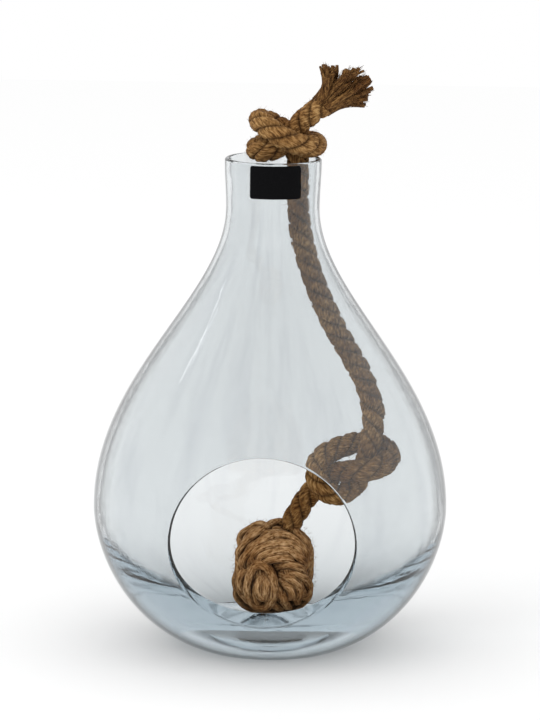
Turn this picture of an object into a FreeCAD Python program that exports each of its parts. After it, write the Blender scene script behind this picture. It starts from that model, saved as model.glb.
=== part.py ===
import FreeCAD, Part
import math
import os

# Blown glass tealight holder with a knotted jute rope, in millimetres.
# +Z is up. The vessel stands on Z = 0 with its axis on Z, and the large side
# opening, through which the candle goes in, faces -Y.

# Glass vessel, outside
height = 300.0
belly_radius = 108.0
belly_height = 86.0
neck_radius = 28.2
neck_length = 30.0
mouth_radius = 29.3
foot_radius = 47.0

# How far the curves of the outline run on straight before they bend
foot_pull_out = 45.0
foot_pull_up = 17.0
belly_pull_down = 24.0
belly_pull_up = 80.0
neck_pull_down = 54.0
lip_pull = 10.0

# Where the neck is narrowest, and where the half round of its lip starts
neck_height = height - neck_length

# Glass vessel, thickness of the glass
floor_thickness = 17.0
belly_wall = 3.2
neck_wall = 3.0
floor_pull_out = 64.0
floor_pull_up = 40.0

# Side opening, an oval seen from the front, with a fire-polished edge
opening_half_width = 56.0
opening_half_height = 52.2
opening_height = 80.2
opening_edge_round = 1.1

# Label stuck to the front of the neck
label_width = 30.5
label_tall = 20.0
label_thickness = 0.3
label_corner = 1.5
label_glue = 0.1
label_turn_deg = 6.0

# Rope, one length from its frayed end over the mouth to the ball on the floor.
# Each bend takes up this share of the shorter of the runs that meet in it.
rope_diameter = 12.0
bend_share = 0.45
frayed_length = 29.0
frayed_radius = 17.0

# Ball knot, a little right of the vessel's axis, with a gap where it rests
end_knot_radius = 26.0
end_knot_tall = 59.0
end_knot_squareness = 0.72
end_knot_steps = 8
end_knot_right = 3.0
rest_gap = 0.3

# Centre line of the rope, point by point: right, back, and a level.
# From the frayed end through the stopper knot that lies on the mouth and down
# the neck. Levels are measured up from the lip.
tail = [
    (31, -3, 33.5), (25, -1, 29), (18.5, 2, 23.5), (12.5, 2, 16.5),
]
stopper_knot = [
    (7.5, 0, 10.5), (2.5, -2, 6.5), (-3, -2.5, 4.3), (-8.3, 0.5, 3.8),
    (-11, 7, 4.3), (-8.8, 14, 5), (-3.5, 20, 6), (2.5, 24.5, 7),
    (9.5, 26, 7.5), (16.5, 23.5, 7.5), (22, 18.5, 7.5), (25, 11.5, 7.5),
    (25.5, 4, 7.5), (23.5, -3.5, 7.5), (18.5, -9.5, 8.5), (12, -13, 11),
    (5, -13.5, 14.5), (-1.5, -11, 18.5), (-7, -5, 21.5), (-9, 2.5, 22.5),
    (-7, 9.5, 21.5), (-1.5, 14, 19), (5, 15, 15.5), (10, 13, 10.5),
    (13, 9.5, 4), (14.8, 7.8, -4),
]
neck_rope = [
    (15.5, 5.5, -14.5), (15, 4, -25.5), (16, 3, -39), (18.5, 1, -52), (22, -1, -65),
]
# Slanting down the inside. Levels are shares of the way up from the middle knot
# to the neck, so this stretch alone grows or shrinks with the vessel's height.
slanting_rope = [
    (26.5, -2.5, 0.86), (32.5, -3.5, 0.71), (39, -4.5, 0.56), (47, -4.5, 0.42),
    (54.5, -4.5, 0.27), (60, -5, 0.13),
]
# Through the loose middle knot to the ball. Levels are measured from the base.
middle_knot = [
    (62.5, -6, 145), (62.5, -7.5, 134.5), (60.5, -9, 124.5), (59, -5.5, 115.5),
    (56.5, -3.5, 107), (52, -5, 100), (46.5, -9, 96), (39.5, -13.5, 95.5),
    (32.5, -16, 99.5), (28.5, -15, 106), (28.5, -11, 113.5), (32.5, -6.5, 118.5),
    (39.5, -3, 121.5), (47, 0, 124), (54.5, 4, 125), (62.5, 5, 124.5),
    (69.5, 1.5, 122.5), (72.5, -5, 118.5), (71, -11.5, 115), (65, -16.5, 113),
    (57, -18, 112), (49, -14, 110.5), (42, -8.5, 108.5), (36, -4, 104.5),
    (29.5, -2.5, 99),
]
lower_rope = [
    (23.5, -4, 93.5), (17, -4.5, 82.5), (11.5, -4, 72.5),
]


def placed_route():
    """The points of the rope's centre line, each list put at its level."""
    above = [
        FreeCAD.Vector(right, back, height + level)
        for right, back, level in tail + stopper_knot + neck_rope
    ]
    below = [FreeCAD.Vector(*place) for place in middle_knot + lower_rope]
    rise = above[-1].z - below[0].z
    between = [
        FreeCAD.Vector(right, back, below[0].z + rise * share)
        for right, back, share in slanting_rope
    ]
    return above + between + below


rope_route = placed_route()


def profile_point(radius, level):
    return FreeCAD.Vector(radius, 0.0, level)


def curve(start, pull_start, pull_end, end):
    """Smooth curve that sets out towards pull_start and arrives from pull_end."""
    bend = Part.BezierCurve()
    bend.setPoles([start, pull_start, pull_end, end])
    return bend.toShape()


def line(start, end):
    return Part.LineSegment(start, end).toShape()


def arc(start, middle, end):
    return Part.Arc(start, middle, end).toShape()


def revolve_outline(edges):
    """Turn a closed outline once round the Z axis."""
    wire = Part.Wire(Part.__sortEdges__(edges))
    turned = Part.Face(wire).revolve(FreeCAD.Vector(), FreeCAD.Vector(0, 0, 1), 360)
    return turned.Solids[0] if turned.Solids else Part.Solid(turned)


def revolve_polygon(corners):
    """Turn a closed outline with straight sides once round the Z axis."""
    outline = Part.Face(Part.makePolygon(corners + corners[:1]))
    return outline.revolve(FreeCAD.Vector(), FreeCAD.Vector(0, 0, 1), 360)


def neck_outline(radius_change):
    """Outline of the slightly flared neck, moved out by radius_change."""
    lip_start = height - neck_wall / 2
    return curve(
        profile_point(neck_radius + radius_change, neck_height),
        profile_point(neck_radius + radius_change, neck_height + lip_pull),
        profile_point(mouth_radius + radius_change, lip_start - lip_pull),
        profile_point(mouth_radius + radius_change, lip_start),
    )


def shoulder_outline(belly, neck):
    """Long sloping side between the belly and the neck."""
    return curve(
        profile_point(belly, belly_height),
        profile_point(belly, belly_height + belly_pull_up),
        profile_point(neck, neck_height - neck_pull_down),
        profile_point(neck, neck_height),
    )


def bowl_outline():
    """Outside of the heavy lower bowl, from the foot to the belly."""
    return curve(
        profile_point(foot_radius, 0.0),
        profile_point(foot_radius + foot_pull_out, foot_pull_up),
        profile_point(belly_radius, belly_height - belly_pull_down),
        profile_point(belly_radius, belly_height),
    )


def floor_outline(inner_belly):
    """Inside of the bowl, from the middle of the thick floor to the belly."""
    return curve(
        profile_point(0.0, floor_thickness),
        profile_point(floor_pull_out, floor_thickness),
        profile_point(inner_belly, belly_height - floor_pull_up),
        profile_point(inner_belly, belly_height),
    )


def lip_outline():
    """Fire-polished lip, a half round over the thickness of the neck."""
    lip_start = height - neck_wall / 2
    return arc(
        profile_point(mouth_radius, lip_start),
        profile_point(mouth_radius - neck_wall / 2, height),
        profile_point(mouth_radius - neck_wall, lip_start),
    )


def opening_oval(scale):
    """Oval of the opening, at a share of the way from the axis to the wall beside it."""
    wall_beside = math.sqrt(belly_radius ** 2 - opening_half_width ** 2)
    oval = Part.Ellipse(FreeCAD.Vector(), opening_half_width * scale, opening_half_height * scale)
    wire = Part.Wire(oval.toShape())
    upright = FreeCAD.Rotation(FreeCAD.Vector(1, 0, 0), 90)
    centre = FreeCAD.Vector(0, -wall_beside * scale, opening_height)
    wire.Placement = FreeCAD.Placement(centre, upright)
    return wire


def opening_edges(vessel):
    """The edges that run round the opening, on the outside and on the inside."""
    found = []
    for edge in vessel.Edges:
        in_front = edge.BoundBox.YMax < -opening_half_width
        across_wall = edge.Length < 2 * floor_thickness
        if in_front and not across_wall:
            found.append(edge)
    return found


def glass_vessel():
    """One blown piece: thick base, teardrop body, neck, and the opening cut in its front."""
    inner_belly = belly_radius - belly_wall
    outside = [bowl_outline(), shoulder_outline(belly_radius, neck_radius), neck_outline(0.0)]
    inside = [
        neck_outline(-neck_wall),
        shoulder_outline(inner_belly, neck_radius - neck_wall),
        floor_outline(inner_belly),
    ]
    floor_middle = profile_point(0.0, floor_thickness)
    foot_middle = profile_point(0.0, 0.0)
    base = [line(floor_middle, foot_middle), line(foot_middle, profile_point(foot_radius, 0.0))]
    blown = revolve_outline(outside + [lip_outline()] + inside + base)
    near_share = 0.5
    far_share = 1.5
    cutter = Part.makeLoft([opening_oval(near_share), opening_oval(far_share)], True, True)
    cut = blown.cut(cutter).Solids[0]
    return cut.makeFillet(opening_edge_round, opening_edges(cut)).Solids[0]


def label():
    """Thin label that follows the neck, just below the lip, with rounded corners."""
    glued = neck_outline(label_glue)
    face = neck_outline(label_glue + label_thickness)
    lower = line(glued.Vertexes[0].Point, face.Vertexes[0].Point)
    upper = line(glued.Vertexes[-1].Point, face.Vertexes[-1].Point)
    band = revolve_outline([glued, lower, face, upper])
    top = height - neck_wall / 2
    corner = FreeCAD.Vector(-label_width / 2, -2 * mouth_radius, top - label_tall)
    block = Part.makeBox(label_width, 2 * mouth_radius, label_tall, corner)
    front_to_back = [edge for edge in block.Edges if abs(edge.Length - 2 * mouth_radius) < 1e-6]
    block = block.makeFillet(label_corner, front_to_back)
    patch = band.common(block).Solids[0]
    patch.rotate(FreeCAD.Vector(), FreeCAD.Vector(0, 0, 1), label_turn_deg)
    return patch


def bend_at(before, corner, after):
    """Start, middle, end and radius of the arc that rounds one point of the route."""
    back = before - corner
    ahead = after - corner
    reach = bend_share * min(back.Length, ahead.Length)
    back.normalize()
    ahead.normalize()
    turn = math.pi - back.getAngle(ahead)
    radius = reach / math.tan(turn / 2)
    inward = back + ahead
    inward.normalize()
    centre = corner + inward * (radius / math.cos(turn / 2))
    return corner + back * reach, centre - inward * radius, corner + ahead * reach, radius


def rope_path():
    """Straight runs joined by tangent arcs, and the radii of the arcs."""
    edges = []
    radii = []
    last = rope_route[0]
    for before, corner, after in zip(rope_route, rope_route[1:], rope_route[2:]):
        start, middle, end, radius = bend_at(before, corner, after)
        edges.append(line(last, start))
        edges.append(arc(start, middle, end))
        radii.append(radius)
        last = end
    edges.append(line(last, rope_route[-1]))
    return Part.Wire(edges), radii


def rope():
    """Plain tube along the whole route, with both overhand knots tied in it."""
    path, radii = rope_path()
    print("rope radii", " ".join(str(round(radius, 1)) for radius in radii))
    ring = Part.Circle(rope_route[0], rope_route[1] - rope_route[0], rope_diameter / 2)
    tube = path.makePipeShell([Part.Wire(ring.toShape())], True, False)
    expected = math.pi * (rope_diameter / 2) ** 2 * path.Length
    print("rope length", round(path.Length, 1), "volume ratio", round(tube.Volume / expected, 4))
    return tube


def end_knot():
    """Outer shape of the ball knot that lies on the floor, flat where the rope runs into it."""
    outline = []
    for step in range(end_knot_steps + 1):
        turn = math.pi * step / end_knot_steps
        outwards = max(0.0, math.sin(turn)) ** end_knot_squareness
        upwards = -math.copysign(abs(math.cos(turn)) ** end_knot_squareness, math.cos(turn))
        outline.append(profile_point(end_knot_radius * outwards, end_knot_tall / 2 * (1 + upwards)))
    ball = revolve_polygon(outline)
    ball.translate(FreeCAD.Vector(end_knot_right, 0, floor_thickness + rest_gap))
    rope_side = rope_route[-2] - rope_route[-1]
    beyond = Part.makeCylinder(end_knot_radius, end_knot_tall, rope_route[-1], rope_side)
    return ball.cut(beyond).Solids[0]


def frayed_end():
    """Outer shape of the unlaid, splayed end, which starts where the rope stops."""
    tuft = revolve_polygon([
        profile_point(0.0, 0.0),
        profile_point(rope_diameter / 2, 0.0),
        profile_point(frayed_radius * 3 / 4, frayed_length / 2),
        profile_point(frayed_radius, frayed_length * 3 / 4),
        profile_point(frayed_radius * 2 / 3, frayed_length),
        profile_point(0.0, frayed_length),
    ])
    outward = rope_route[0] - rope_route[1]
    upright = FreeCAD.Rotation(FreeCAD.Vector(0, 0, 1), outward)
    tuft.Placement = FreeCAD.Placement(rope_route[0], upright)
    return tuft


def main():
    os.makedirs("parts", exist_ok=True)
    pieces = {
        "glass_vessel": glass_vessel(),
        "label": label(),
        "rope": rope(),
        "end_knot": end_knot(),
        "frayed_end": frayed_end(),
    }
    for name, shape in pieces.items():
        shape.exportStep(f"parts/{name}.step")
        print(name, shape.ShapeType, shape.isValid(), round(shape.Volume))


main()
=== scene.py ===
"""Looks of a blown glass tealight holder with a knotted jute rope.

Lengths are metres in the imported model's frame: +Z is up, the vessel stands on
Z = 0 with its axis on Z, and its side opening faces -Y.
"""

import logging
import math
from dataclasses import dataclass
from enum import Enum
from random import Random
from typing import Callable, NamedTuple

import bpy
from bpy.types import Material, Node, NodeSocket, NodeTree, Object
from mathutils import Matrix, Vector


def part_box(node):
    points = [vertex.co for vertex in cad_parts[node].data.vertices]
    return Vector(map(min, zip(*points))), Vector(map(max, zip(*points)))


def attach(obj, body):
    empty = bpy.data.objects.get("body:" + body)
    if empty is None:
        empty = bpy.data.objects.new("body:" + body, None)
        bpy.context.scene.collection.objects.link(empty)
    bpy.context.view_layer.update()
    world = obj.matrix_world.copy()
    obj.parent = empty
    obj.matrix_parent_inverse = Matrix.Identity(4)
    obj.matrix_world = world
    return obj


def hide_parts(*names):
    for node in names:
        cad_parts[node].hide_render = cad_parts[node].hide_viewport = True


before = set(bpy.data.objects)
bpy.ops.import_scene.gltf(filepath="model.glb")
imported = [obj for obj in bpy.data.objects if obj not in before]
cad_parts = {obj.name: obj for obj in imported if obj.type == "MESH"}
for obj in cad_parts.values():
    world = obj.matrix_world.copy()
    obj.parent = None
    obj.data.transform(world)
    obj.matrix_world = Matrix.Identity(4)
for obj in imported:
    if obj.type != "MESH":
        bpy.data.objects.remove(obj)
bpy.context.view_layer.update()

MM = 0.001
BODY = "root"
SEEN_FROM_DEG = 11.0
AXES = (Vector((1, 0, 0)), Vector((0, 1, 0)), Vector((0, 0, 1)))
Points = list[Vector]
Pair = tuple[float, float]
Place = tuple[float, float, float]
Route = tuple[Place, ...]
Wrap = tuple[Pair, ...]
log = logging.getLogger("tealight_holder")


class Lay(Enum):
    """Which way the strands of a rope turn, as a sign about its direction."""

    S = -1
    Z = 1


def linear(hex_colour: str) -> tuple[float, float, float, float]:
    """Turn an sRGB hex colour into the linear colour that a shader takes.

    Args:
        hex_colour: Six hex digits.

    Returns:
        Red, green, blue and an alpha of 1.
    """
    channels = []
    for start in (0, 2, 4):
        value = int(hex_colour[start:start + 2], 16) / 255
        channels.append(value / 12.92 if value <= 0.04045 else ((value + 0.055) / 1.055) ** 2.4)
    return (channels[0], channels[1], channels[2], 1.0)


def add_node(tree: NodeTree, kind: str, inputs: dict | None = None,
             **settings: object) -> Node:
    """Add a shader node with its settings and what goes into its sockets.

    Args:
        tree: Node tree of the material, lamp or world.
        kind: Blender's type name of the node, after ShaderNode.
        inputs: For each socket name or number, a constant or an output to link.
        settings: Properties of the node itself.

    Returns:
        The new node.
    """
    node = tree.nodes.new("ShaderNode" + kind)
    for name, value in settings.items():
        setattr(node, name, value)
    for socket, value in (inputs or {}).items():
        if isinstance(value, NodeSocket):
            tree.links.new(value, node.inputs[socket])
        else:
            node.inputs[socket].default_value = value
    return node


def colour_ramp(tree: NodeTree, factor: NodeSocket,
                stops: tuple[float, ...], colours: tuple[str, ...]) -> NodeSocket:
    """Spread hex colours over a factor.

    Args:
        tree: Node tree of the material.
        factor: Output that gives 0 to 1.
        stops: Position of each colour, in order.
        colours: The hex colours.

    Returns:
        The ramp's colour output.
    """
    node = add_node(tree, "ValToRGB", {"Fac": factor})
    elements = node.color_ramp.elements
    while len(elements) < len(stops):
        elements.new(stops[-1])
    for element, position, hex_colour in zip(elements, stops, colours):
        element.position = position
        element.color = linear(hex_colour)
    return node.outputs["Color"]


def mix_colours(tree: NodeTree, share: float | NodeSocket, first: NodeSocket,
                second: NodeSocket | tuple, blend: str = "MIX") -> NodeSocket:
    """Mix two colours.

    Args:
        tree: Node tree of the material.
        share: How much the second counts, 0 to 1.
        first: The first colour.
        second: The second colour.
        blend: Blender's name for the way they mix.

    Returns:
        The mixed colour.
    """
    node = add_node(tree, "Mix", {0: share, 6: first, 7: second}, data_type="RGBA", blend_type=blend)
    return node.outputs[2]


def new_material(name: str) -> tuple[Material, NodeTree]:
    """Make an empty node material.

    Args:
        name: What the finish is.

    Returns:
        The material and its empty node tree.
    """
    material = bpy.data.materials.new(name)
    material.use_nodes = True
    material.node_tree.nodes.clear()
    return material, material.node_tree


@dataclass(frozen=True)
class BlownGlass:
    """Soda-lime glass, mouth-blown: clear with a cool cast, faint upright ribs from turning."""

    tint: str = "E9ECED"
    thick_tint: str = "E3E6E8"
    depth_tint: str = "A9C0CC"
    depth_density: float = 6.0
    shadow: str = "FBFCFC"
    refraction: float = 1.5
    rib_count: float = 7.0
    rib_height: float = 0.06 * MM
    rib_detail: float = 4.0
    rib_roughness: float = 0.6
    ripple_length: float = 90 * MM
    tint_stops: Pair = (0.35, 0.5)
    # Painted shade at the grazing edges of the glass, standing in for the darker surroundings that they
    # would reflect and refract.
    painted_edge_shade: str = "181E22"
    painted_edge_slant: Pair = (0.66, 0.82)

    def add_ribs(self, tree: NodeTree) -> NodeSocket:
        """Add the noise of the ribs, which run up the wall and waver along it.

        Args:
            tree: Node tree of the material.

        Returns:
            The noise's value.
        """
        place = add_node(tree, "TexCoord").outputs["Object"]
        parts = add_node(tree, "SeparateXYZ", {0: place})
        flat = add_node(tree, "CombineXYZ", {0: parts.outputs[0], 1: parts.outputs[1]})
        around = add_node(tree, "VectorMath", {0: flat.outputs[0]}, operation="NORMALIZE")
        sides = add_node(tree, "VectorMath",
                         {0: around.outputs[0], "Scale": self.rib_count}, operation="SCALE")
        rise = add_node(tree, "Math", {0: parts.outputs[2], 1: 1 / self.ripple_length},
                        operation="MULTIPLY")
        upright = add_node(tree, "CombineXYZ", {2: rise.outputs[0]})
        where = add_node(tree, "VectorMath", {0: sides.outputs[0], 1: upright.outputs[0]},
                         operation="ADD")
        noise = add_node(tree, "TexNoise", {
            "Vector": where.outputs[0], "Scale": 1.0, "Detail": self.rib_detail,
            "Roughness": self.rib_roughness})
        return noise.outputs["Fac"]

    def build(self) -> Material:
        """Make the glass.

        Returns:
            A material with a tinted depth, painted shade at its grazing edges and a faint ribbed surface.
        """
        material, tree = new_material("blown_soda_lime_glass")
        ribs = self.add_ribs(tree)
        bump = add_node(tree, "Bump", {"Height": ribs, "Distance": self.rib_height, "Strength": 1.0})
        wall = colour_ramp(tree, ribs, self.tint_stops, (self.thick_tint, self.tint))
        # Painted shade: darken the glass towards its grazing edges.
        slant = add_node(tree, "LayerWeight", {"Blend": 0.5}).outputs["Facing"]
        on_painted_edge = add_node(tree, "MapRange", {
            "Value": slant, "From Min": self.painted_edge_slant[0], "From Max": self.painted_edge_slant[1]})
        surface = mix_colours(tree, on_painted_edge.outputs[0], wall, linear(self.painted_edge_shade))
        glass = add_node(tree, "BsdfPrincipled", {
            "Base Color": surface,
            "Roughness": 0.0,
            "IOR": self.refraction,
            "Transmission Weight": 1.0,
            "Normal": bump.outputs[0],
        })
        depth = add_node(tree, "VolumeAbsorption",
                         {"Color": linear(self.depth_tint), "Density": self.depth_density})
        clear = add_node(tree, "BsdfTransparent", {"Color": linear(self.shadow)})
        ray = add_node(tree, "LightPath")
        lit = add_node(tree, "MixShader",
                       {0: ray.outputs["Is Shadow Ray"], 1: glass.outputs[0], 2: clear.outputs[0]})
        add_node(tree, "OutputMaterial", {"Surface": lit.outputs[0], "Volume": depth.outputs[0]})
        return material


@dataclass(frozen=True)
class Jute:
    """Jute fibre, spun and laid: matte golden brown, flecked with dark between the fibres, with painted
    shade in the hollows between strands.
    """

    name: str = "laid_jute"
    dark: str = "3C2510"
    middle: str = "8B663A"
    light: str = "C29C68"
    # Painted shade: the colour laid into the hollows between strands and yarns, weighted by a per-point
    # weight that the mesh carries.
    groove_shade: str = "2A1808"
    fleck: Pair = (1.1 * MM, 3.2 * MM)
    fibre: Pair = (0.45 * MM, 7 * MM)
    fleck_share: float = 0.6
    tone_stops: tuple[float, float, float] = (0.36, 0.5, 0.64)
    worn: str = "C9B8A2"
    unworn: str = "FFFFFF"
    patch_size: float = 20 * MM
    patch_stops: Pair = (0.35, 0.65)
    noise_detail: float = 2.0
    noise_roughness: float = 0.6
    relief: float = 0.45 * MM
    relief_strength: float = 0.9
    # Strength of the painted shade in the hollows between strands.
    groove_shade_share: float = 0.75
    roughness: float = 0.9
    shine: float = 0.2

    def along_strand(self, tree: NodeTree, place: NodeSocket, size: Pair) -> NodeSocket:
        """Make a noise drawn out along the strand.

        Args:
            tree: Node tree of the material.
            place: The strand's own UV map, in metres.
            size: Width and length of what the noise shows.

        Returns:
            The noise's value.
        """
        stretched = add_node(tree, "Mapping", {
            "Vector": place, "Scale": (1 / size[0], 1 / size[1], 1.0)})
        noise = add_node(tree, "TexNoise", {
            "Vector": stretched.outputs[0], "Scale": 1.0, "Detail": self.noise_detail,
            "Roughness": self.noise_roughness})
        return noise.outputs["Fac"]

    def build(self) -> Material:
        """Make the fibre.

        Returns:
            A material that follows the strands' own UV map.
        """
        material, tree = new_material(self.name)
        strand = add_node(tree, "UVMap", uv_map="strand").outputs[0]
        flecks = self.along_strand(tree, strand, self.fleck)
        fibres = self.along_strand(tree, strand, self.fibre)
        fur = add_node(tree, "Mix", {"Factor": self.fleck_share, "A": fibres, "B": flecks})
        place = add_node(tree, "TexCoord").outputs["Object"]
        patches = add_node(tree, "TexNoise", {
            "Vector": place, "Scale": 1 / self.patch_size, "Detail": self.noise_detail})
        fibre_colour = colour_ramp(tree, fur.outputs[0], self.tone_stops,
                                   (self.dark, self.middle, self.light))
        patch_colour = colour_ramp(tree, patches.outputs["Fac"], self.patch_stops,
                                   (self.worn, self.unworn))
        worn = mix_colours(tree, 1.0, fibre_colour, patch_colour, "MULTIPLY")
        # Painted shade: darken the fibre colour towards the hollows between strands, by the mesh's per-point
        # weight.
        depth = add_node(tree, "Attribute", attribute_name="groove_shade")
        groove_shade_mask = add_node(tree, "Math", {0: depth.outputs["Fac"], 1: self.groove_shade_share},
                             operation="MULTIPLY")
        shaded = mix_colours(tree, groove_shade_mask.outputs[0], worn, linear(self.groove_shade))
        bump = add_node(tree, "Bump", {
            "Height": fur.outputs[0], "Distance": self.relief, "Strength": self.relief_strength})
        fibre = add_node(tree, "BsdfPrincipled", {
            "Base Color": shaded,
            "Roughness": self.roughness,
            "Specular IOR Level": self.shine,
            "Normal": bump.outputs[0],
        })
        add_node(tree, "OutputMaterial", {"Surface": fibre.outputs[0]})
        return material


@dataclass(frozen=True)
class BlackLabel:
    """Coated black paper, printed all over and glued on: satin, with faint paper grain."""

    colour: str = "050506"
    grain_colour: str = "141416"
    tone_stops: Pair = (0.35, 0.9)
    grain: float = 0.4 * MM
    grain_detail: float = 2.0
    grain_height: float = 0.01 * MM
    grain_strength: float = 0.5
    roughness: Pair = (0.38, 0.52)
    shine: float = 0.04

    def build(self) -> Material:
        """Make the paper.

        Returns:
            A satin black material.
        """
        material, tree = new_material("coated_black_paper")
        place = add_node(tree, "TexCoord").outputs["Object"]
        grain = add_node(tree, "TexNoise", {
            "Vector": place, "Scale": 1 / self.grain, "Detail": self.grain_detail})
        colour = colour_ramp(tree, grain.outputs["Fac"], self.tone_stops,
                             (self.colour, self.grain_colour))
        sheen = add_node(tree, "MapRange", {
            "Value": grain.outputs["Fac"], "To Min": self.roughness[0],
            "To Max": self.roughness[1]})
        bump = add_node(tree, "Bump", {
            "Height": grain.outputs["Fac"], "Distance": self.grain_height,
            "Strength": self.grain_strength})
        paper = add_node(tree, "BsdfPrincipled", {
            "Base Color": colour,
            "Roughness": sheen.outputs[0],
            "Specular IOR Level": self.shine,
            "Normal": bump.outputs[0],
        })
        add_node(tree, "OutputMaterial", {"Surface": paper.outputs[0]})
        return material


@dataclass(frozen=True)
class StudioPaper:
    """White studio paper, matte."""

    colour: str = "FCFCFC"

    def build(self) -> Material:
        """Make the paper.

        Returns:
            A matte material that takes shadows.
        """
        material, tree = new_material("studio_paper")
        paper = add_node(tree, "BsdfDiffuse", {"Color": linear(self.colour)})
        add_node(tree, "OutputMaterial", {"Surface": paper.outputs[0]})
        return material


class TubeMesh:
    """Gathers rings of points into closed tubes, with a UV map in metres and a weight of painted shade for
    each point.
    """

    # Painted shade on the closed ends of the tubes.
    end_groove_shade = 0.3

    def __init__(self) -> None:
        """Start with nothing in it."""
        self.points: Points = []
        self.faces: list[tuple[int, ...]] = []
        self.places: list[list[Pair]] = []
        self.groove_shades: list[float] = []

    def add_tube(self, rings: list[Points], lengths: list[float], girth: float,
                 groove_shades: list[list[float]] | None = None, looped: bool = False) -> None:
        """Add one tube.

        Args:
            rings: Points round the tube, ring by ring, each turning the same way.
            lengths: Distance along the tube of each ring.
            girth: Distance once round the tube.
            groove_shades: Weight of the painted shade at each point, 0 to 1: how deep in a hollow between
                strands it lies.
            looped: True if the last ring joins the first, False for closed ends.
        """
        sides = len(rings[0])
        first = len(self.points)
        for number, ring in enumerate(rings):
            self.points.extend(ring)
            self.groove_shades.extend(groove_shades[number] if groove_shades else [0.0] * sides)
        pairs = list(zip(range(len(rings) - 1), range(1, len(rings))))
        if looped:
            pairs.append((len(rings) - 1, 0))
        step = lengths[1] - lengths[0]
        for near, far in pairs:
            near_length = lengths[near]
            far_length = lengths[far] if far else near_length + step
            for side in range(sides):
                after = (side + 1) % sides
                self.faces.append((first + near * sides + side, first + near * sides + after,
                                   first + far * sides + after, first + far * sides + side))
                left = girth * side / sides
                right = girth * (side + 1) / sides
                self.places.append([(left, near_length), (right, near_length),
                                    (right, far_length), (left, far_length)])
        if not looped:
            self._close_end(first, rings[0], lengths[0], girth, True)
            self._close_end(first + (len(rings) - 1) * sides, rings[-1], lengths[-1], girth, False)

    def _close_end(self, start: int, ring: Points, length: float, girth: float, backwards: bool) -> None:
        """Close one end of a tube with a fan of triangles.

        Args:
            start: Number of the ring's first point.
            ring: Points of the ring.
            length: Distance along the tube of the ring.
            girth: Distance once round the tube.
            backwards: True for the end that faces back along the tube.
        """
        middle = len(self.points)
        self.points.append(sum(ring, Vector()) / len(ring))
        self.groove_shades.append(self.end_groove_shade)
        sides = len(ring)
        for side in range(sides):
            corners = (start + (side + 1) % sides, start + side, middle)
            self.faces.append(corners if backwards else (corners[1], corners[0], middle))
            self.places.append([(girth * side / sides, length)] * 3)

    def build(self, name: str, material: Material) -> Object:
        """Make the object from all its tubes.

        Args:
            name: Name of the piece.
            material: Its finish.

        Returns:
            A smooth-shaded mesh object at the origin.
        """
        mesh = bpy.data.meshes.new(name)
        mesh.from_pydata([tuple(point) for point in self.points], [], self.faces)
        flat = [value for places in self.places for place in places for value in place]
        mesh.uv_layers.new(name="strand").data.foreach_set("uv", flat)
        # This attribute carries the painted shade weights to the material.
        groove_shade = mesh.attributes.new("groove_shade", "FLOAT", "POINT")
        groove_shade.data.foreach_set("value", self.groove_shades)
        mesh.polygons.foreach_set("use_smooth", [True] * len(mesh.polygons))
        mesh.materials.append(material)
        mesh.update()
        piece = bpy.data.objects.new(name, mesh)
        bpy.context.scene.collection.objects.link(piece)
        return piece


def distances(path: Points) -> list[float]:
    """Measure along a path.

    Args:
        path: Its points in order.

    Returns:
        The distance from the start to each point.
    """
    found = [0.0]
    for before, after in zip(path, path[1:]):
        found.append(found[-1] + (after - before).length)
    return found


def directions(path: Points, looped: bool = False) -> Points:
    """Find which way a path runs at each of its points.

    Args:
        path: Its points in order.
        looped: True if its end meets its start.

    Returns:
        A unit vector for each point.
    """
    last = len(path) - 1
    found = []
    for number in range(len(path)):
        before = path[number - 1] if looped or number > 0 else path[0]
        after = path[(number + 1) % len(path)] if looped or number < last else path[last]
        found.append((after - before).normalized())
    return found


def steady_sides(path: Points) -> list[tuple[Vector, Vector]]:
    """Carry a pair of cross directions along a path without letting them twist.

    Args:
        path: Its points in order.

    Returns:
        For each point, two unit vectors square to the path and to each other.
    """
    along = directions(path)
    side = along[0].orthogonal().normalized()
    found = []
    for direction in along:
        side = (side - direction * side.dot(direction)).normalized()
        found.append((side, direction.cross(side)))
    return found


def smooth_path(points: Points, steps: int, looped: bool = False) -> Points:
    """Draw a smooth line through every one of some points.

    Args:
        points: The points in order.
        steps: Pieces between two points.
        looped: True if the line ends where it starts.

    Returns:
        Points of the line, without the start again at the end of a loop.
    """
    count = len(points)
    path = []
    for number in range(count if looped else count - 1):
        near = [at % count if looped else min(max(at, 0), count - 1)
                for at in range(number - 1, number + 3)]
        before, start, end, after = (points[at] for at in near)
        for step in range(steps):
            share = step / steps
            bend = start * 2 + (end - before) * share
            bend += (before * 2 - start * 5 + end * 4 - after) * share ** 2
            bend += (start * 3 - before - end * 3 + after) * share ** 3
            path.append(bend / 2)
    if not looped:
        path.append(points[-1].copy())
    return path


def round_ring(centre: Vector, side: Vector, up: Vector, count: int,
               radius_at: Callable[[float], float], turn: float = 0.0) -> Points:
    """Place points round a centre.

    Args:
        centre: Middle of the ring.
        side: Direction of angle zero.
        up: Direction of a quarter turn.
        count: Number of points.
        radius_at: Radius for an angle measured from side.
        turn: Angle of the first point.

    Returns:
        The points in order.
    """
    ring = []
    for number in range(count):
        angle = turn + 2 * math.pi * number / count
        reach = radius_at(angle)
        ring.append(centre + side * (reach * math.cos(angle)) + up * (reach * math.sin(angle)))
    return ring


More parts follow.
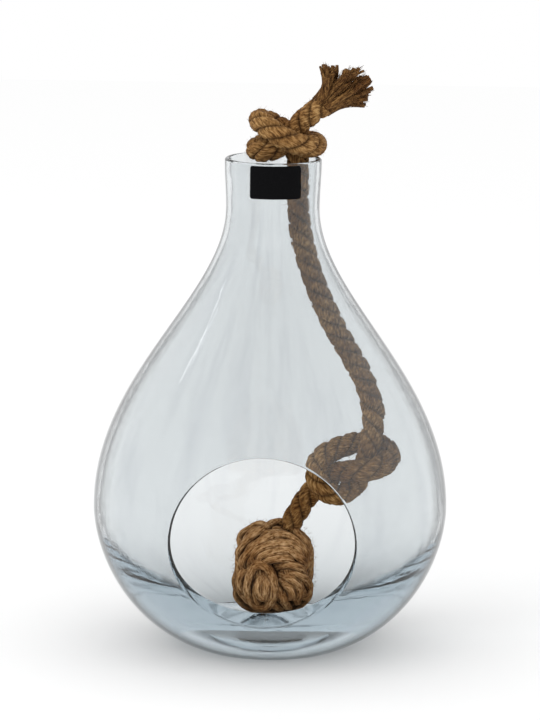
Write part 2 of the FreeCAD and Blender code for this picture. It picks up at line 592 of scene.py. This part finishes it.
@dataclass
class RopeRoute:
    """Centre line of the rope, in millimetres, from the frayed end to the ball."""

    tail: Route = (
        (31, -3, 333.5), (25, -1, 329), (18.5, 2, 323.5), (12.5, 2, 316.5),
    )
    stopper_knot: Route = (
        (7.5, 0, 310.5), (2.5, -2, 306.5), (-3, -2.5, 304.3), (-8.3, 0.5, 303.8),
        (-11, 7, 304.3), (-8.8, 14, 305), (-3.5, 20, 306), (2.5, 24.5, 307),
        (9.5, 26, 307.5), (16.5, 23.5, 307.5), (22, 18.5, 307.5), (25, 11.5, 307.5),
        (25.5, 4, 307.5), (23.5, -3.5, 307.5), (18.5, -9.5, 308.5), (12, -13, 311),
        (5, -13.5, 314.5), (-1.5, -11, 318.5), (-7, -5, 321.5), (-9, 2.5, 322.5),
        (-7, 9.5, 321.5), (-1.5, 14, 319), (5, 15, 315.5), (10, 13, 310.5),
        (13, 9.5, 304), (14.8, 7.8, 296),
    )
    hanging_rope: Route = (
        (15.5, 5.5, 285.5), (15, 4, 274.5), (16, 3, 261), (18.5, 1, 248), (22, -1, 235),
        (26.5, -2.5, 222.4), (32.5, -3.5, 208.9), (39, -4.5, 195.4), (47, -4.5, 182.8),
        (54.5, -4.5, 169.3), (60, -5, 156.7), (62.5, -6, 145),
    )
    middle_knot: Route = (
        (62.5, -7.5, 134.5), (60.5, -9, 124.5), (59, -5.5, 115.5), (56.5, -3.5, 107),
        (52, -5, 100), (46.5, -9, 96), (39.5, -13.5, 95.5), (32.5, -16, 99.5),
        (28.5, -15, 106), (28.5, -11, 113.5), (32.5, -6.5, 118.5), (39.5, -3, 121.5),
        (47, 0, 124), (54.5, 4, 125), (62.5, 5, 124.5), (69.5, 1.5, 122.5),
        (72.5, -5, 118.5), (71, -11.5, 115), (65, -16.5, 113), (57, -18, 112),
        (49, -14, 110.5), (42, -8.5, 108.5), (36, -4, 104.5), (29.5, -2.5, 99),
    )
    lower_rope: Route = ((23.5, -4, 93.5), (17, -4.5, 82.5), (11.5, -4, 72.5))
    steps: int = 10

    def centre_line(self) -> Points:
        """Draw one smooth spline over the route and read its points.

        Returns:
            Points along the spline, about a millimetre apart.
        """
        route = (self.tail + self.stopper_knot + self.hanging_rope
                 + self.middle_knot + self.lower_rope)
        curve = bpy.data.curves.new("rope_route", "CURVE")
        curve.dimensions = "3D"
        spline = curve.splines.new("NURBS")
        spline.points.add(len(route) - 1)
        for control, place in zip(spline.points, route):
            control.co = (*(Vector(place) * MM), 1.0)
        spline.order_u = 3
        spline.use_endpoint_u = True
        spline.resolution_u = self.steps
        drawn = bpy.data.objects.new("rope_route", curve)
        line = bpy.data.meshes.new_from_object(drawn)
        path = [vertex.co.copy() for vertex in line.vertices]
        bpy.data.meshes.remove(line)
        bpy.data.objects.remove(drawn)
        bpy.data.curves.remove(curve)
        return path


@dataclass
class LaidRope:
    """The rope itself: three strands of spun yarns, laid round each other."""

    diameter: float = 13.6 * MM
    strand_count: int = 3
    lay_length: float = 29 * MM
    lay: Lay = Lay.S
    sides: int = 26
    yarn_count: int = 9
    yarn_height: float = 0.25 * MM
    strand_flatness: float = 0.48
    # How far out from the hollows between strands the painted shade reaches, as a share of the rope's
    # radius.
    groove_shade_reach: float = 0.28

    @property
    def strand_radius(self) -> float:
        """Radius of one strand, where three touch inside the rope's diameter."""
        return self.diameter / 2 / (1 + 2 / math.sqrt(3))

    @property
    def strand_offset(self) -> float:
        """Distance of a strand's centre from the rope's."""
        return self.diameter / 2 - self.strand_radius

    def add_strand(self, tube: TubeMesh, path: Points, number: int) -> None:
        """Lay one strand along the path.

        Args:
            tube: Mesh that takes it.
            path: Centre line of the rope.
            number: Which strand it is, from 0.
        """
        lengths = distances(path)
        rings = []
        groove_shades = []
        unlay = self.strand_offset / self.strand_radius
        for place, length, (side, up) in zip(path, lengths, steady_sides(path)):
            turned = self.lay.value * 2 * math.pi * length / self.lay_length
            angle = turned + 2 * math.pi * number / self.strand_count
            outward = side * math.cos(angle) + up * math.sin(angle)
            across = up * math.cos(angle) - side * math.sin(angle)
            yarn_turn = -turned * unlay

            def radius_at(bearing: float) -> float:
                flattened = 1 + self.strand_flatness * math.sin(bearing) ** 2
                yarn = math.cos(self.yarn_count * (bearing + turned - yarn_turn))
                return self.strand_radius * flattened + self.yarn_height * (yarn - 1) / 2

            centre = place + outward * self.strand_offset
            ring = round_ring(centre, outward, across, self.sides, radius_at, yarn_turn - turned)
            rings.append(ring)
            # Painted shade towards the hollows between strands.
            groove_shades.append([self._groove_shade_weight((point - place).length) for point in ring])
        tube.add_tube(rings, lengths, 2 * math.pi * self.strand_radius, groove_shades)

    def _groove_shade_weight(self, reach: float) -> float:
        """Weight of the painted shade at a point, 0 to 1: how deep in the hollow between strands it lies."""
        share = (self.diameter / 2 - reach) / (self.groove_shade_reach * self.diameter / 2)
        return min(1.0, max(0.0, share)) ** 2

    def build(self, path: Points, material: Material) -> Object:
        """Make the rope.

        Args:
            path: Its centre line.
            material: Its finish.

        Returns:
            One mesh object.
        """
        tube = TubeMesh()
        for number in range(self.strand_count):
            self.add_strand(tube, path, number)
        return tube.build("laid_rope", material)


@dataclass
class FistKnot:
    """Ball knot on the rope's lower end: crossing bands of soft strand, tied by hand, with
    the wraps on its front laid as they were tied. Places on the front are millimetres right
    of and above the ball's centre, as a viewer a little above it sees them."""

    centre: Vector
    half_width: float
    half_tall: float
    strand_radius: float = 3.1 * MM
    band_level: float = 0.95
    wraps: int = 5
    steps: int = 72
    sides: int = 16
    yarn_count: int = 5
    yarn_height: float = 0.4 * MM
    yarn_pitch: float = 16 * MM
    dive: float = 0.11
    squareness: float = 0.72
    turns: tuple[tuple[str, float], ...] = (("Z", 20.0), ("X", 38.0), ("Y", -30.0))
    looseness: float = 0.05
    wrap_spacing: float = 0.95
    smallest_wrap: float = 0.05
    # Painted shade on the sides of the strands that face into the ball, between neighbouring wraps.
    groove_shade_reach: float = 0.8
    groove_shade_curve: float = 1.5
    tuck: float = 0.72
    front_steps: int = 7
    settling_rounds: int = 6
    core_level: float = 0.8
    core_rings: int = 16
    core_sides: int = 24
    core_ring_length: float = 3 * MM
    seed: int = 4
    top_wraps: tuple[Wrap, ...] = (
        ((-21.5, 5.5), (-20.5, 15), (-16, 22), (-8, 25.5), (-1, 26.5)),
        ((-22.8, -2), (-20.8, 8), (-15.5, 16.3), (-8, 21.8), (0, 24.8), (8, 24.5),
         (14.5, 20), (19.5, 13.5), (22.3, 6.5)),
        ((-20.5, -5.5), (-18.3, 3.2), (-13.5, 10.7), (-6.5, 16.7), (1, 19.8), (8.5, 19.7),
         (15, 15), (19.5, 9), (22.3, 2.3)),
        ((-16, 1), (-11, 8.8), (-4, 13.2), (4, 15.2), (11, 14.5), (16.5, 9.8), (21, 3.3)),
        ((-12, 2.8), (-7, 7), (0, 9.8), (7.5, 11.2), (12.5, 9), (18, 4.6), (22.6, 0.5)),
        ((-9, 3), (-3, 5), (4, 6), (10, 6), (14.5, 4)),
    )
    right_wraps: tuple[Wrap, ...] = (
        ((3, 2), (10, 2.5), (17, 0), (22.5, -4)),
        ((8, -1), (14.5, -3), (20, -7), (21.5, -12), (19.5, -17), (16, -20)),
        ((6.5, -5), (11.5, -6.5), (15.5, -11), (16, -16.5), (14, -21)),
        ((6.5, -10), (10.5, -12), (11.5, -17), (9.5, -23)),
        ((5.5, -16), (7, -19), (4.5, -24)),
    )
    left_wraps: tuple[Wrap, ...] = (
        ((-17, 1.5), (-19.3, -5), (-19.3, -13), (-17, -20)),
        ((-21.5, 1), (-22.8, -6), (-22.5, -13), (-20.5, -18), (-17.5, -22)),
        ((-22.5, -9), (-22.5, -15), (-20.5, -21), (-14, -25.5), (-5, -26.3), (3, -26.3),
         (11, -25.5), (17.5, -21.5), (21, -15), (22, -8)),
        ((-7, -3.5), (-8.5, -10.5), (-7.5, -17), (-4.5, -17.5), (-3.5, -11), (-4.5, -5)),
    )
    front_loop: Wrap = (
        (-11, 0.5), (-14, -5), (-15.2, -12), (-14, -19), (-9.5, -23.5), (-3.5, -23.5),
        (0, -19), (1.2, -12.5), (0.3, -6), (-2.5, -0.5), (-7, 1.8),
    )

    def shaped(self, direction: Vector, level: float) -> Vector:
        """Place a point of a wrap on the ball.

        Args:
            direction: Unit vector from the ball's centre.
            level: Share of the way from the centre to the outermost wraps.

        Returns:
            The point, in metres.
        """
        wide = self.half_width - self.strand_radius
        tall = self.half_tall - self.strand_radius
        squared = [math.copysign(abs(part) ** self.squareness, part) for part in direction]
        return self.centre + Vector((squared[0] * wide, squared[1] * wide, squared[2] * tall)) * level

    def front_point(self, right: float, up: float, level: float) -> Vector:
        """Place a point on the ball's front where the viewer sees it.

        Args:
            right: Millimetres right of the ball's centre in the picture.
            up: Millimetres above it in the picture.
            level: Share of the way from the centre to the outermost wraps.

        Returns:
            The point, in metres.
        """
        wide = self.half_width - self.strand_radius
        tall = self.half_tall - self.strand_radius
        power = 2 / self.squareness
        tilt = math.radians(SEEN_FROM_DEG)
        depth = 0.0
        height = up * MM
        for _ in range(self.settling_rounds):
            height = (up * MM - depth * math.sin(tilt)) / math.cos(tilt)
            left_over = 1 - abs(right * MM / wide) ** power - abs(height / tall) ** power
            depth = -wide * max(0.0, left_over) ** (1 / power)
        return self.centre + Vector((right * MM, depth, height)) * level

    def add_strand(self, tube: TubeMesh, path: Points, looped: bool) -> None:
        """Lay one twisted strand along a path on the ball.

        Args:
            tube: Mesh that takes it.
            path: Its centre line.
            looped: True if its end meets its start.
        """
        lengths = distances(path)
        turns = lengths[-1] / self.yarn_pitch
        if looped:
            turns = max(1, round(turns))
        rings = []
        groove_shades = []
        for place, along, length in zip(path, directions(path, looped), lengths):
            out = place - self.centre
            up = (out - along * out.dot(along)).normalized()
            side = up.cross(along)
            turned = 2 * math.pi * turns * length / lengths[-1]

            def radius_at(bearing: float) -> float:
                yarn = math.cos(self.yarn_count * bearing - turned)
                return self.strand_radius + self.yarn_height * (yarn - 1) / 2

            ring = round_ring(place, side, up, self.sides, radius_at)
            rings.append(ring)
            # Painted shade on the inner side of the strand.
            groove_shades.append([self._groove_shade_weight((point - place).dot(up)) for point in ring])
        tube.add_tube(rings, lengths, 2 * math.pi * self.strand_radius, groove_shades, looped)

    def _groove_shade_weight(self, rise: float) -> float:
        """Weight of the painted shade at a point of a strand, 0 to 1: how deep between its neighbours it
        lies.
        """
        share = 1 - rise / (self.groove_shade_reach * self.strand_radius)
        return min(1.0, max(0.0, share)) ** self.groove_shade_curve

    def add_wrap(self, tube: TubeMesh, band: int, number: int, chance: Random) -> None:
        """Wind one wrap of the crossing bands round the ball.

        Args:
            tube: Mesh that takes it.
            band: Which of the three bands it is in.
            number: Its place in the band.
            chance: Source of its unevenness.
        """
        axis, start, quarter = AXES[band], AXES[band - 2], AXES[band - 1]
        spacing = 2 * self.strand_radius / (self.half_width - self.strand_radius)
        across = (number - (self.wraps - 1) / 2) * spacing * self.wrap_spacing
        across += chance.uniform(-1, 1) * self.looseness
        lean = chance.uniform(-1, 1) * self.looseness
        pose = Matrix.Identity(3)
        for letter, turn_deg in self.turns:
            pose = pose @ Matrix.Rotation(math.radians(turn_deg), 3, letter)
        round_it = math.sqrt(max(self.smallest_wrap, 1 - across ** 2))
        path = []
        for step in range(self.steps):
            turn = 2 * math.pi * step / self.steps
            swing = start * math.cos(turn) + quarter * math.sin(turn)
            direction = (axis * (across + lean * math.sin(turn)) + swing * round_it).normalized()
            level = 1 - self.dive + self.dive * math.cos(2 * turn)
            path.append(self.shaped(pose @ direction, level * self.band_level))
        self.add_strand(tube, path, looped=True)

    def add_front_wrap(self, tube: TubeMesh, places: Wrap) -> None:
        """Lay one wrap on the front, with both ends tucked under the others.

        Args:
            tube: Mesh that takes it.
            places: Where it runs, right of and above the ball's centre in the picture.
        """
        last = len(places) - 1
        points = []
        for number, (right, up) in enumerate(places):
            level = self.tuck if number in (0, last) else 1.0
            points.append(self.front_point(right, up, level))
        self.add_strand(tube, smooth_path(points, self.front_steps), looped=False)

    def add_core(self, tube: TubeMesh) -> None:
        """Put a solid core inside the wraps, so that nothing shows through them; it is painted in full
        shade, a dark fill that stands in for the shade in the gaps.
        """
        rings = []
        lengths = []
        for step in range(1, self.core_rings):
            slope = math.pi * step / self.core_rings
            ring = []
            for side in range(self.core_sides):
                turn = 2 * math.pi * side / self.core_sides
                direction = Vector((math.sin(slope) * math.cos(turn),
                                    math.sin(slope) * math.sin(turn), -math.cos(slope)))
                ring.append(self.shaped(direction, self.core_level))
            rings.append(ring)
            lengths.append(step * self.core_ring_length)
        # Painted shade: the whole core takes the darkest shade colour.
        shade_weights = [[1.0] * self.core_sides for _ in rings]
        tube.add_tube(rings, lengths, 2 * math.pi * self.half_width, shade_weights)

    def build(self, material: Material) -> Object:
        """Make the ball knot.

        Args:
            material: Its finish.

        Returns:
            One mesh object.
        """
        chance = Random(self.seed)
        tube = TubeMesh()
        for band in range(len(AXES)):
            for number in range(self.wraps):
                self.add_wrap(tube, band, number, chance)
        for places in self.top_wraps + self.right_wraps + self.left_wraps:
            self.add_front_wrap(tube, places)
        loop = [self.front_point(right, up, 1.0) for right, up in self.front_loop]
        self.add_strand(tube, smooth_path(loop, self.front_steps, looped=True), looped=True)
        self.add_core(tube)
        return tube.build("ball_knot", material)


class Clump(NamedTuple):
    """Where a clump of the frayed end runs, in millimetres, and how late it bends out."""

    right: float
    back: float
    along: float
    width: float
    late: float


@dataclass
class FrayedEnd:
    """Unlaid end of the rope: its yarns part into thick clumps, with loose fibres."""

    start: Vector
    along: Vector
    right: Vector
    rope_radius: float
    clumps: tuple[Clump, ...] = (
        Clump(-18, 0, 17.5, 2.8, 1.8),
        Clump(-12, 2, 20, 3.2, 1.4),
        Clump(-7.5, -3, 29, 3.8, 1.1),
        Clump(-2, 4, 32, 4.4, 1.0),
        Clump(4, -1, 31.5, 4.2, 1.0),
        Clump(0, 3, 23, 4.4, 1.0),
        Clump(8, 2, 26.5, 3.6, 1.0),
        Clump(11.5, 0, 20.5, 2.6, 1.1),
    )
    yarns: int = 12
    yarn_radius: float = 1.6 * MM
    yarn_unevenness: Pair = (0.6, 1.25)
    yarn_sides: int = 8
    fibres: int = 45
    fibre_radius: float = 0.13 * MM
    fibre_sides: int = 3
    fibre_stray: float = 1.2
    root_spread: float = 0.68
    root_lean: float = 0.25
    reach_share: Pair = (0.78, 1.02)
    inside_rope: float = 0.15
    curl: float = 3.0 * MM
    curl_turns: float = 2.3
    curl_late: int = 5
    wave: Pair = (0.2 * MM, 0.8 * MM)
    wave_turns: Pair = (9, 8)
    wave_shift: float = 1.7
    taper: float = 0.2
    # Random darker tone per thread, then painted shade towards the root where the yarns leave the rope.
    random_thread_darkening: float = 0.5
    root_shade: float = 0.6
    bends: int = 11
    seed: int = 11

    def across(self, angle: float) -> Vector:
        """Find a direction square to the rope's end, at an angle from the right to the back."""
        back = self.along.cross(self.right).normalized()
        return self.right * math.cos(angle) + back * math.sin(angle)

    def add_thread(self, tube: TubeMesh, clump: Clump, radius: float, sides: int, loose: float,
                   chance: Random) -> None:
        """Grow one yarn or fibre from the rope's end into a clump.

        Args:
            tube: Mesh that takes it.
            clump: The clump.
            radius: Thickness at its root.
            sides: Points round it.
            loose: How far it strays from the clump, as a share of its width.
            chance: Source of its unevenness.
        """
        angle = chance.uniform(0, 2 * math.pi)
        inside = math.sqrt(chance.random()) * self.rope_radius * self.root_spread
        lean = math.atan2(clump.back, clump.right)
        root = self.across(lean) * self.rope_radius * self.root_lean + self.across(angle) * inside
        wide = math.sqrt(chance.random()) * clump.width * loose * MM
        right, back = self.across(0), self.across(math.pi / 2)
        tip = (right * clump.right + back * clump.back) * MM + self.across(angle) * wide
        reach = clump.along * MM * chance.uniform(*self.reach_share)
        curl = self.across(self.curl_turns * angle) * self.curl
        wave = chance.uniform(*self.wave) * loose
        phase = chance.uniform(0, 2 * math.pi)
        path = []
        for step in range(self.bends + 1):
            share = step / self.bends
            swing = right * math.sin(phase + share * self.wave_turns[0])
            swing += back * math.cos(phase * self.wave_shift + share * self.wave_turns[1])
            offset = root.lerp(tip, share ** clump.late) + curl * share ** self.curl_late
            offset += swing * wave * share
            rise = reach * (share * (1 + self.inside_rope) - self.inside_rope)
            path.append(self.start + self.along * rise + offset)
        lengths = distances(path)
        rings = []
        for number, (place, (side, up)) in enumerate(zip(path, steady_sides(path))):
            thin = 1 - self.taper * (number / self.bends) ** 2
            rings.append(round_ring(place, side, up, sides, lambda bearing: radius * thin))
        # Each thread takes a random darker tone, and painted shade towards its root where the yarns bunch at
        # the rope's end.
        depth = chance.uniform(0.0, self.random_thread_darkening)
        shade_weights = [[max(depth, self.root_shade * (1 - number / self.bends) ** 2)] * sides
                for number in range(self.bends + 1)]
        tube.add_tube(rings, lengths, 2 * math.pi * radius, shade_weights)

    def build(self, material: Material) -> Object:
        """Make the frayed end.

        Args:
            material: Its finish.

        Returns:
            One mesh object.
        """
        chance = Random(self.seed)
        tube = TubeMesh()
        for clump in self.clumps:
            for _ in range(self.yarns):
                radius = self.yarn_radius * chance.uniform(*self.yarn_unevenness)
                self.add_thread(tube, clump, radius, self.yarn_sides, 1.0, chance)
            for _ in range(self.fibres):
                self.add_thread(tube, clump, self.fibre_radius, self.fibre_sides,
                                self.fibre_stray, chance)
        return tube.build("frayed_tuft", material)


@dataclass
class StrayFibres:
    """Short hairs that stand off the rope and the ball. They are drawn coarser than
    the real 0.05 mm, which would not show."""

    hair_radius: float = 0.08 * MM
    hair_sides: int = 3
    shortest: float = 1.5 * MM
    longest: float = 5.0 * MM
    broken: Pair = (0.4, 1.0)
    lift: Pair = (0.35, 1.0)
    lean: float = 1.6
    curl: float = 0.35
    taper: float = 0.6
    bends: int = 4
    rope_hairs_per_step: int = 4
    rope_root: float = 0.9
    rope_seed: int = 7
    ball_hairs: int = 700
    ball_root: float = 0.7
    ball_lowest: float = -0.92
    ball_seed: int = 8

    def add_hair(self, tube: TubeMesh, root: Vector, outward: Vector, along: Vector, chance: Random) -> None:
        """Grow one hair.

        Args:
            tube: Mesh that takes it.
            root: Where it leaves the rope.
            outward: Direction away from the rope.
            along: Direction of the rope.
            chance: Source of its unevenness.
        """
        length = chance.uniform(self.shortest, self.longest) * chance.uniform(*self.broken)
        lean = chance.uniform(-1, 1) * self.lean
        heading = (outward * chance.uniform(*self.lift) + along * lean).normalized()
        curl = Vector([chance.uniform(-1, 1) for _ in AXES]) * self.curl
        path = [root]
        for _ in range(self.bends):
            heading = (heading + curl).normalized()
            path.append(path[-1] + heading * (length / self.bends))
        rings = []
        for number, (place, (side, up)) in enumerate(zip(path, steady_sides(path))):
            radius = self.hair_radius * (1 - self.taper * number / self.bends)
            rings.append(round_ring(place, side, up, self.hair_sides, lambda bearing: radius))
        tube.add_tube(rings, distances(path), 2 * math.pi * self.hair_radius)

    def on_rope(self, path: Points, radius: float, material: Material) -> Object:
        """Cover the rope with hairs.

        Args:
            path: The rope's centre line.
            radius: The rope's radius.
            material: Their finish.

        Returns:
            One mesh object.
        """
        chance = Random(self.rope_seed)
        tube = TubeMesh()
        for place, along, (side, up) in zip(path, directions(path), steady_sides(path)):
            for _ in range(self.rope_hairs_per_step):
                angle = chance.uniform(0, 2 * math.pi)
                outward = side * math.cos(angle) + up * math.sin(angle)
                root = place + outward * radius * self.rope_root
                self.add_hair(tube, root, outward, along, chance)
        return tube.build("rope_hairs", material)

    def on_ball(self, ball: FistKnot, material: Material) -> Object:
        """Cover the ball knot with hairs.

        Args:
            ball: The ball knot.
            material: Their finish.

        Returns:
            One mesh object.
        """
        chance = Random(self.ball_seed)
        tube = TubeMesh()
        for _ in range(self.ball_hairs):
            level = chance.uniform(self.ball_lowest, 1)
            turn = chance.uniform(0, 2 * math.pi)
            flat = math.sqrt(max(0.0, 1 - level ** 2))
            outward = Vector((flat * math.cos(turn), flat * math.sin(turn), level))
            root = ball.shaped(outward, 1.0) + outward * ball.strand_radius * self.ball_root
            self.add_hair(tube, root, outward, outward.orthogonal().normalized(), chance)
        return tube.build("ball_hairs", material)


@dataclass(frozen=True)
class Softbox:
    """Lamp with a rectangular face, as wide and tall as written, with its power in watts.

    The glass shows the reflection of a mirrored one only."""

    name: str
    place: Place
    wide: float
    tall: float
    power: float
    mirrored: bool

    def hang(self, target: Vector) -> None:
        """Hang the lamp.

        Args:
            target: The point that it faces.
        """
        lamp = bpy.data.lights.new(self.name, "AREA")
        lamp.energy = self.power
        lamp.shape = "RECTANGLE"
        lamp.size = self.wide
        lamp.size_y = self.tall
        holder = bpy.data.objects.new(self.name, lamp)
        holder.visible_glossy = self.mirrored
        holder.visible_transmission = self.mirrored
        bpy.context.scene.collection.objects.link(holder)
        holder.location = self.place
        aim = target - Vector(self.place)
        holder.rotation_euler = aim.to_track_quat("-Z", "Y").to_euler()


@dataclass
class Studio:
    """Pale floor, plain soft light and the camera at the photograph's angle."""

    key: Softbox = Softbox("key_softbox", (-1.1, -1.3, 1.6), 1.0, 1.0, 10.0, False)
    strip: Softbox = Softbox("strip_softbox", (-1.2, 0.11, 1.1), 0.03, 0.3, 0.1, True)
    distance: float = 2.5
    turn_deg: float = 2.7
    roll_deg: float = 0.55
    aim_height: float = 0.150
    focal_px: float = 4101.4
    frame_tall_px: float = 720.0
    frame_wide_px: float = 540.0
    aim_column_px: float = 271.0
    aim_row_px: float = 401.9
    sensor: float = 36.0
    floor_size: float = 6.0
    floor_gap: float = 0.2 * MM
    bounces: int = 24

    def build_floor(self) -> None:
        """Lay the floor."""
        bpy.ops.mesh.primitive_plane_add(size=self.floor_size)
        floor = bpy.context.active_object
        floor.name = "floor"
        floor.location.z = -self.floor_gap
        floor.data.materials.append(StudioPaper().build())

    def build_world(self) -> None:
        """Fill the room with even white light, the same for the eye, the glass and the rope."""
        world = bpy.data.worlds.new("white_studio")
        bpy.context.scene.world = world
        world.use_nodes = True
        tree = world.node_tree
        tree.nodes.clear()
        white = add_node(tree, "Background", {"Color": (1, 1, 1, 1), "Strength": 1.0})
        add_node(tree, "OutputWorld", {"Surface": white.outputs[0]})

    def build_camera(self) -> None:
        """Set the camera at the photograph's distance, height, turn and framing."""
        lens = bpy.data.cameras.new("camera")
        lens.sensor_width = self.sensor
        lens.lens = self.focal_px / self.frame_tall_px * self.sensor
        lens.shift_x = (self.frame_wide_px / 2 - self.aim_column_px) / self.frame_tall_px
        lens.shift_y = (self.aim_row_px - self.frame_tall_px / 2) / self.frame_tall_px
        camera = bpy.data.objects.new("camera", lens)
        bpy.context.scene.collection.objects.link(camera)
        turn = math.radians(self.turn_deg)
        rise = math.radians(SEEN_FROM_DEG)
        aim = Vector((0, 0, self.aim_height))
        back = Vector((math.sin(turn) * math.cos(rise), -math.cos(turn) * math.cos(rise),
                       math.sin(rise)))
        view = (-back).to_track_quat("-Z", "Y").to_matrix()
        view = view @ Matrix.Rotation(math.radians(self.roll_deg), 3, "Z")
        camera.matrix_world = Matrix.Translation(aim + back * self.distance) @ view.to_4x4()
        bpy.context.scene.camera = camera

    def build(self) -> None:
        """Build the whole studio."""
        self.build_floor()
        self.build_world()
        for lamp in (self.key, self.strip):
            lamp.hang(Vector((0, 0, self.aim_height)))
        self.build_camera()
        scene = bpy.context.scene
        scene.view_settings.view_transform = "Standard"
        scene.cycles.max_bounces = self.bounces
        scene.cycles.glossy_bounces = self.bounces
        scene.cycles.transmission_bounces = self.bounces


LAID_JUTE = Jute()
# Lighter copy of the jute for the ball inside the vessel: partly the ball's own lighter tone, partly painted
# light that makes up for the dimmer light in there; more painted shade between its strands.
BRIGHTENED_SPUN_JUTE = Jute(name="spun_jute_painted_brighter", dark="472D15", middle="A97E52", light="E0BA8A", groove_shade_share=0.9)
UNLAID_JUTE = Jute(name="unlaid_jute", dark="251404", middle="704D28", light="B08852")
JUTE_HAIR = Jute(name="jute_hair", dark="8A6840", relief=0.0)


def declare(piece: Object, slot: str, *nodes: str) -> None:
    """Let a piece ride on the body and stand for its nodes.

    Args:
        piece: The finished piece.
        slot: Not used.
        nodes: The solids that it replaces, if any.
    """
    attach(piece, BODY)
    if nodes:
        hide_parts(*nodes)
    log.info("%s: %d faces", piece.name, len(piece.data.polygons))


def dress(node: str, material: Material) -> None:
    """Give a solid a detailed finish.

    Args:
        node: Name of the solid.
        material: Its finish.
    """
    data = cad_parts[node].data
    data.materials.clear()
    data.materials.append(material)
    log.info("%s: dressed", node)


def main() -> None:
    """Build every piece of the holder and the studio round it."""
    logging.basicConfig(level=logging.INFO, format="%(name)s %(message)s")
    Studio().build()
    dress("glass_vessel", BlownGlass().build())
    dress("label", BlackLabel().build())

    path = RopeRoute().centre_line()
    rope_maker = LaidRope()
    rope_radius = rope_maker.diameter / 2
    rope = rope_maker.build(path, LAID_JUTE.build())
    declare(rope, "jute", "rope")

    low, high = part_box("end_knot")
    middle = (low + high) / 2
    ball_maker = FistKnot(Vector(middle), (high.x - low.x) / 2, (high.z - low.z) / 2)
    ball = ball_maker.build(BRIGHTENED_SPUN_JUTE.build())
    declare(ball, "jute", "end_knot")

    outward = (path[0] - path[1]).normalized()
    right = (Vector((1, 0, 0)) - outward * outward.x).normalized()
    tuft = FrayedEnd(path[0], outward, right, rope_radius).build(UNLAID_JUTE.build())
    declare(tuft, "jute", "frayed_end")

    hairs = StrayFibres()
    hair = JUTE_HAIR.build()
    rope_hairs = hairs.on_rope(path, rope_radius, hair)
    declare(rope_hairs, "jute")
    ball_hairs = hairs.on_ball(ball_maker, hair)
    declare(ball_hairs, "jute")

    tuple(path[0])
    distances(path)[-1]
    [tuple(place) for place in path]


if __name__ == "__main__":
    main()
